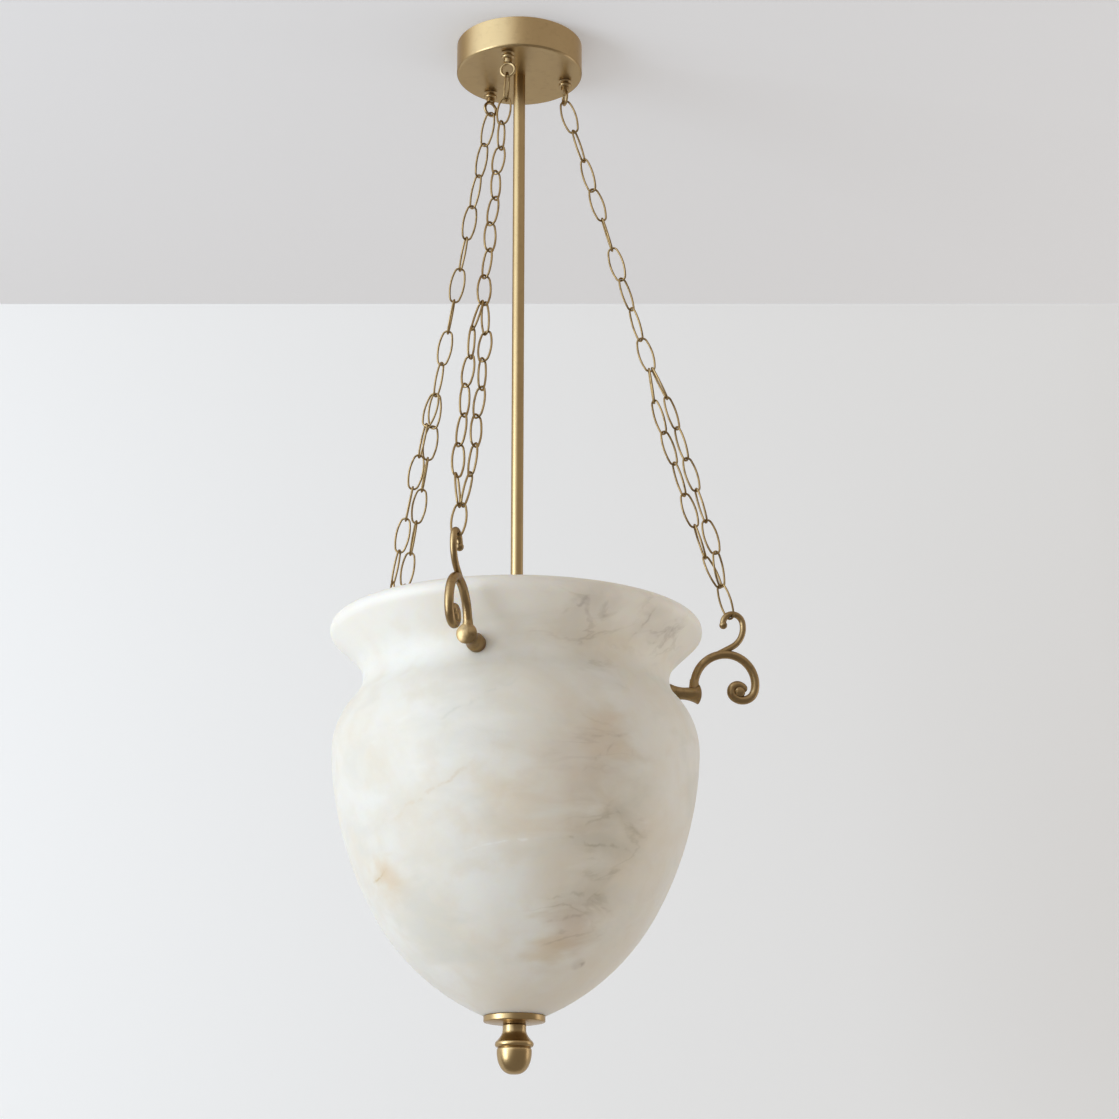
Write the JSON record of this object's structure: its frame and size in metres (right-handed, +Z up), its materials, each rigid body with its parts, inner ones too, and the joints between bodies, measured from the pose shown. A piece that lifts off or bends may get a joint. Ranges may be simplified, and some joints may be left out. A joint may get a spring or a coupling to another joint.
{
  "type": "pendant light",
  "caption": "Alabaster urn pendant light hung by brass chains and cast scroll hooks from a round ceiling canopy, with a central stem, a lamp cluster inside and an acorn finial.",
  "frame": {"origin": "centre of the ceiling box screws on the ceiling face, above the middle of the canopy", "axes": "+Z up towards the ceiling, +X to the right and -Y towards the viewer of the picture"},
  "size_m": [0.4222, 0.4382, 1.062],
  "materials": {
    "steel": "zinc plated",
    "satin_brass": "satin, antique",
    "polished_brass": "turned and polished",
    "chain_brass": "brown, aged",
    "cast_brass": "cast and aged",
    "alabaster": "matte, translucent, clouded",
    "rubber": "matte",
    "porcelain": "glazed",
    "lamp_glass": "frosted",
    "lamp_cap": "rolled shell"
  },
  "bodies": {
    "canopy": {"canopy": "satin_brass", "mounting_bar": "steel", "stem_nipple": "steel", "bar_nut": "steel", "canopy_washer": "steel", "canopy_nut": "steel", "stem": "satin_brass", "eye_washers": "steel", "eye_nuts": "steel", "cluster_body": "satin_brass", "cluster_nipple": "steel", "cluster_cap": "satin_brass", "eye_right": "satin_brass", "eye_left": "satin_brass", "eye_front": "satin_brass", "lampholder_1": "porcelain", "lampholder_2": "porcelain", "lampholder_3": "porcelain"},
    "top_link_right": {"top_link_right": "chain_brass"},
    "chain_right": {"chain_right": "chain_brass", "strand_a_right": "chain_brass", "strand_b_right": "chain_brass"},
    "hook_link_right": {"hook_link_right": "chain_brass"},
    "bowl": {"bowl": "alabaster", "hook_studs": "steel", "hook_pads": "rubber", "hook_washers": "steel", "hook_nuts": "steel", "finial_plate": "satin_brass", "finial_rod": "steel", "rod_gasket": "rubber", "rod_washer": "steel", "rod_nut": "steel", "hook_right": "cast_brass", "hook_left": "cast_brass", "hook_front": "cast_brass"},
    "finial": {"finial": "polished_brass"},
    "top_link_front": {"top_link_front": "chain_brass"},
    "chain_front": {"chain_front": "chain_brass", "strand_a_front": "chain_brass", "strand_b_front": "chain_brass", "hook_link_front": "chain_brass"},
    "top_link_left": {"top_link_left": "chain_brass"},
    "chain_left": {"chain_left": "chain_brass", "strand_a_left": "chain_brass", "strand_b_left": "chain_brass", "hook_link_left": "chain_brass"},
    "lamp_1": {"lamp_cap_1": "lamp_cap", "lamp_bulb_1": "lamp_glass"},
    "lamp_2": {"lamp_cap_2": "lamp_cap", "lamp_bulb_2": "lamp_glass"},
    "lamp_3": {"lamp_cap_3": "lamp_cap", "lamp_bulb_3": "lamp_glass"}
  },
  "joints": [
    {"name": "sway_front_back", "type": "hinge", "parent": "canopy", "child": "top_link_right", "pos_m": [0.04781, 0.01281, -0.05908], "axis": [1, 0, 0], "range_deg": [-4, 4]},
    {"name": "sway_left_right", "type": "hinge", "parent": "top_link_right", "child": "chain_right", "pos_m": [0.05712, 0.01531, -0.08983], "axis": [0, 1, 0], "range_deg": [-4, 4]},
    {"name": "tilt_front_back", "type": "hinge", "parent": "chain_right", "child": "hook_link_right", "pos_m": [0.20376, 0.0546, -0.57418], "axis": [1, 0, 0], "range_deg": [-0.94, 0.94]},
    {"name": "tilt_left_right", "type": "hinge", "parent": "hook_link_right", "child": "bowl", "pos_m": [0.21262, 0.05697, -0.60345], "axis": [0, 1, 0], "range_deg": [-1.08, 1.08]},
    {"name": "front_chain_front_back", "type": "hinge", "parent": "canopy", "child": "top_link_front", "pos_m": [-0.01114, -0.04823, -0.05908], "axis": [1, 0, 0], "range_deg": [-3.95, 3.95]},
    {"name": "front_chain_left_right", "type": "hinge", "parent": "top_link_front", "child": "chain_front", "pos_m": [-0.0133, -0.05762, -0.08983], "axis": [0, 1, 0], "range_deg": [-4, 4]},
    {"name": "left_chain_front_back", "type": "hinge", "parent": "canopy", "child": "top_link_left", "pos_m": [-0.03115, 0.03847, -0.05908], "axis": [1, 0, 0], "range_deg": [-3.95, 3.95]},
    {"name": "left_chain_left_right", "type": "hinge", "parent": "top_link_left", "child": "chain_left", "pos_m": [-0.03722, 0.04596, -0.08983], "axis": [0, 1, 0], "range_deg": [-4, 4]},
    {"name": "finial_turn", "type": "hinge", "parent": "bowl", "child": "finial", "pos_m": [0, 0, -1.0262], "axis": [0, 0, 1], "range_deg": [0, 360]},
    {"name": "lamp_1_turn", "type": "hinge", "parent": "canopy", "child": "lamp_1", "pos_m": [0.00207, 0.00773, -0.7375], "axis": [0.1485, 0.554, -0.8192], "range_deg": [0, 360]},
    {"name": "lamp_2_turn", "type": "hinge", "parent": "canopy", "child": "lamp_2", "pos_m": [-0.00773, -0.00207, -0.7375], "axis": [-0.554, -0.1485, -0.8192], "range_deg": [0, 360]},
    {"name": "lamp_3_turn", "type": "hinge", "parent": "canopy", "child": "lamp_3", "pos_m": [0.00566, -0.00566, -0.7375], "axis": [0.4056, -0.4056, -0.8192], "range_deg": [0, 360]}
  ],
  "couplings": [
    {"joint": "tilt_front_back", "follows": "sway_front_back", "ratio": -0.23466},
    {"joint": "tilt_left_right", "follows": "sway_left_right", "ratio": -0.26866},
    {"joint": "front_chain_front_back", "follows": "sway_front_back", "ratio": 0.98738},
    {"joint": "front_chain_left_right", "follows": "sway_left_right", "ratio": 1},
    {"joint": "left_chain_front_back", "follows": "sway_front_back", "ratio": 0.98738},
    {"joint": "left_chain_left_right", "follows": "sway_left_right", "ratio": 1}
  ]
}
